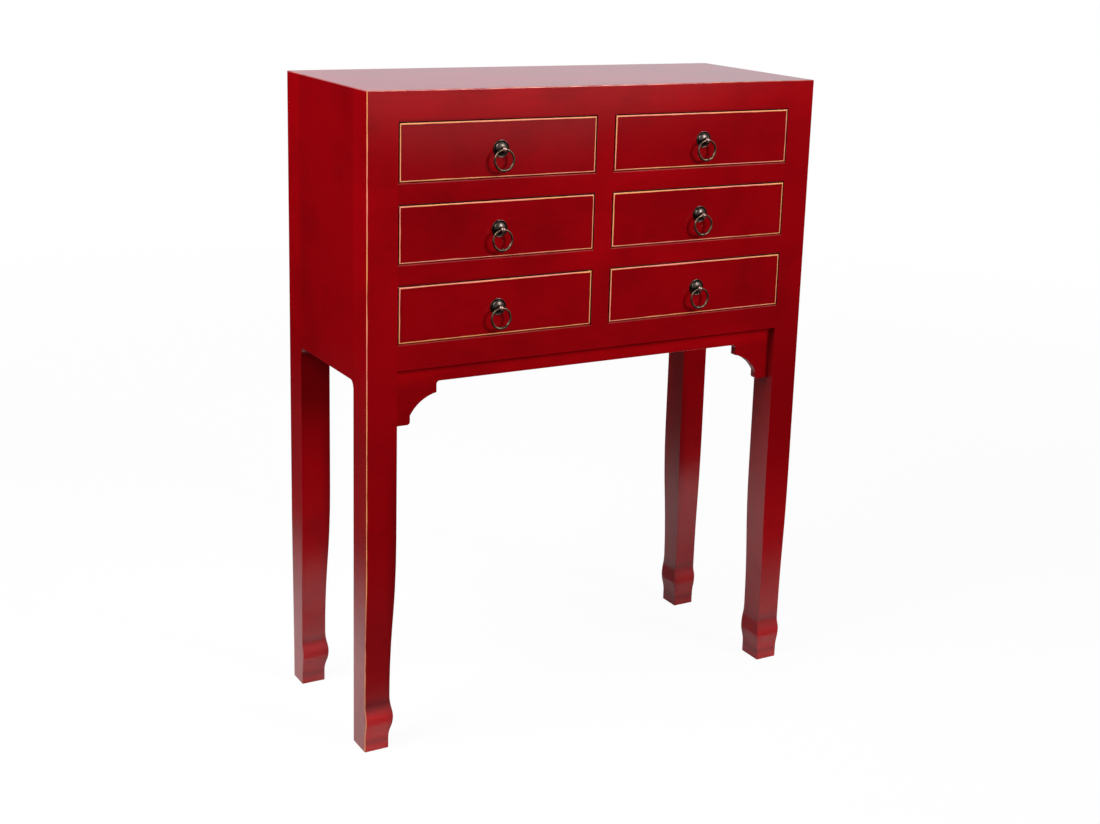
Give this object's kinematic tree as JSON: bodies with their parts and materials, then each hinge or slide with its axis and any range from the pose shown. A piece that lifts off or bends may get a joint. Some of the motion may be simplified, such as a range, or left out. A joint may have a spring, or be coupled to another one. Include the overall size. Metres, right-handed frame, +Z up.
{
  "type": "chest of drawers",
  "caption": "Narrow chest of small drawers in red lacquered wood on tall hoof-footed legs, with curved apron brackets and hanging ring pulls.",
  "frame": {"origin": "on the floor, under the middle of the chest's whole box, pulls included", "axes": "+Z up, +Y towards the back, +X towards the right side seen from the front"},
  "size_m": [0.63, 0.2644, 0.816],
  "materials": {
    "red_lacquer": "satin red lacquer, rubbed through to ochre at the outer edges",
    "bare_wood": "planed, unfinished light wood",
    "plywood": "thin plywood, unfinished",
    "antique_brass": "dark patinated, rubbed bright on the high spots"
  },
  "bodies": {
    "case": {"top_panel": "red_lacquer", "back_panel": "plywood", "bottom_panel": "plywood", "centre_partition": "bare_wood", "centre_stile": "red_lacquer", "rear_rail": "red_lacquer", "front_apron": "red_lacquer", "drawer_runners": "bare_wood", "top_rail": "red_lacquer", "upper_drawer_rail": "red_lacquer", "lower_drawer_rail": "red_lacquer", "bottom_rail": "red_lacquer", "front_left_leg": "red_lacquer", "front_right_leg": "red_lacquer", "rear_left_leg": "red_lacquer", "rear_right_leg": "red_lacquer", "left_side_panel": "red_lacquer", "right_side_panel": "red_lacquer"},
    "upper_left_drawer": {"upper_left_drawer_front": "red_lacquer", "upper_left_drawer_sides": "bare_wood", "upper_left_drawer_back": "bare_wood", "upper_left_drawer_bottom": "plywood", "upper_left_drawer_pull_rosette": "antique_brass", "upper_left_drawer_pull_post": "antique_brass"},
    "upper_left_ring": {"upper_left_drawer_pull_ring": "antique_brass"},
    "upper_right_drawer": {"upper_right_drawer_front": "red_lacquer", "upper_right_drawer_sides": "bare_wood", "upper_right_drawer_back": "bare_wood", "upper_right_drawer_bottom": "plywood", "upper_right_drawer_pull_rosette": "antique_brass", "upper_right_drawer_pull_post": "antique_brass"},
    "upper_right_ring": {"upper_right_drawer_pull_ring": "antique_brass"},
    "middle_left_drawer": {"middle_left_drawer_front": "red_lacquer", "middle_left_drawer_sides": "bare_wood", "middle_left_drawer_back": "bare_wood", "middle_left_drawer_bottom": "plywood", "middle_left_drawer_pull_rosette": "antique_brass", "middle_left_drawer_pull_post": "antique_brass"},
    "middle_left_ring": {"middle_left_drawer_pull_ring": "antique_brass"},
    "middle_right_drawer": {"middle_right_drawer_front": "red_lacquer", "middle_right_drawer_sides": "bare_wood", "middle_right_drawer_back": "bare_wood", "middle_right_drawer_bottom": "plywood", "middle_right_drawer_pull_rosette": "antique_brass", "middle_right_drawer_pull_post": "antique_brass"},
    "middle_right_ring": {"middle_right_drawer_pull_ring": "antique_brass"},
    "lower_left_drawer": {"lower_left_drawer_front": "red_lacquer", "lower_left_drawer_sides": "bare_wood", "lower_left_drawer_back": "bare_wood", "lower_left_drawer_bottom": "plywood", "lower_left_drawer_pull_rosette": "antique_brass", "lower_left_drawer_pull_post": "antique_brass"},
    "lower_left_ring": {"lower_left_drawer_pull_ring": "antique_brass"},
    "lower_right_drawer": {"lower_right_drawer_front": "red_lacquer", "lower_right_drawer_sides": "bare_wood", "lower_right_drawer_back": "bare_wood", "lower_right_drawer_bottom": "plywood", "lower_right_drawer_pull_rosette": "antique_brass", "lower_right_drawer_pull_post": "antique_brass"},
    "lower_right_ring": {"lower_right_drawer_pull_ring": "antique_brass"}
  },
  "joints": [
    {"name": "upper_left_drawer_slide", "type": "slide", "parent": "case", "child": "upper_left_drawer", "axis": [0, -1, 0], "range_m": [0, 0.17]},
    {"name": "upper_left_ring_hinge", "type": "hinge", "parent": "upper_left_drawer", "child": "upper_left_ring", "pos_m": [-0.14425, -0.1291, 0.74465], "axis": [-1, 0, 0], "range_deg": [-14, 194]},
    {"name": "upper_right_drawer_slide", "type": "slide", "parent": "case", "child": "upper_right_drawer", "axis": [0, -1, 0], "range_m": [0, 0.17]},
    {"name": "upper_right_ring_hinge", "type": "hinge", "parent": "upper_right_drawer", "child": "upper_right_ring", "pos_m": [0.14425, -0.1291, 0.74465], "axis": [-1, 0, 0], "range_deg": [-14, 194]},
    {"name": "middle_left_drawer_slide", "type": "slide", "parent": "case", "child": "middle_left_drawer", "axis": [0, -1, 0], "range_m": [0, 0.17]},
    {"name": "middle_left_ring_hinge", "type": "hinge", "parent": "middle_left_drawer", "child": "middle_left_ring", "pos_m": [-0.14425, -0.1291, 0.64895], "axis": [-1, 0, 0], "range_deg": [-14, 194]},
    {"name": "middle_right_drawer_slide", "type": "slide", "parent": "case", "child": "middle_right_drawer", "axis": [0, -1, 0], "range_m": [0, 0.17]},
    {"name": "middle_right_ring_hinge", "type": "hinge", "parent": "middle_right_drawer", "child": "middle_right_ring", "pos_m": [0.14425, -0.1291, 0.64895], "axis": [-1, 0, 0], "range_deg": [-14, 194]},
    {"name": "lower_left_drawer_slide", "type": "slide", "parent": "case", "child": "lower_left_drawer", "axis": [0, -1, 0], "range_m": [0, 0.17]},
    {"name": "lower_left_ring_hinge", "type": "hinge", "parent": "lower_left_drawer", "child": "lower_left_ring", "pos_m": [-0.14425, -0.1291, 0.55325], "axis": [-1, 0, 0], "range_deg": [-14, 194]},
    {"name": "lower_right_drawer_slide", "type": "slide", "parent": "case", "child": "lower_right_drawer", "axis": [0, -1, 0], "range_m": [0, 0.17]},
    {"name": "lower_right_ring_hinge", "type": "hinge", "parent": "lower_right_drawer", "child": "lower_right_ring", "pos_m": [0.14425, -0.1291, 0.55325], "axis": [-1, 0, 0], "range_deg": [-14, 194]}
  ]
}
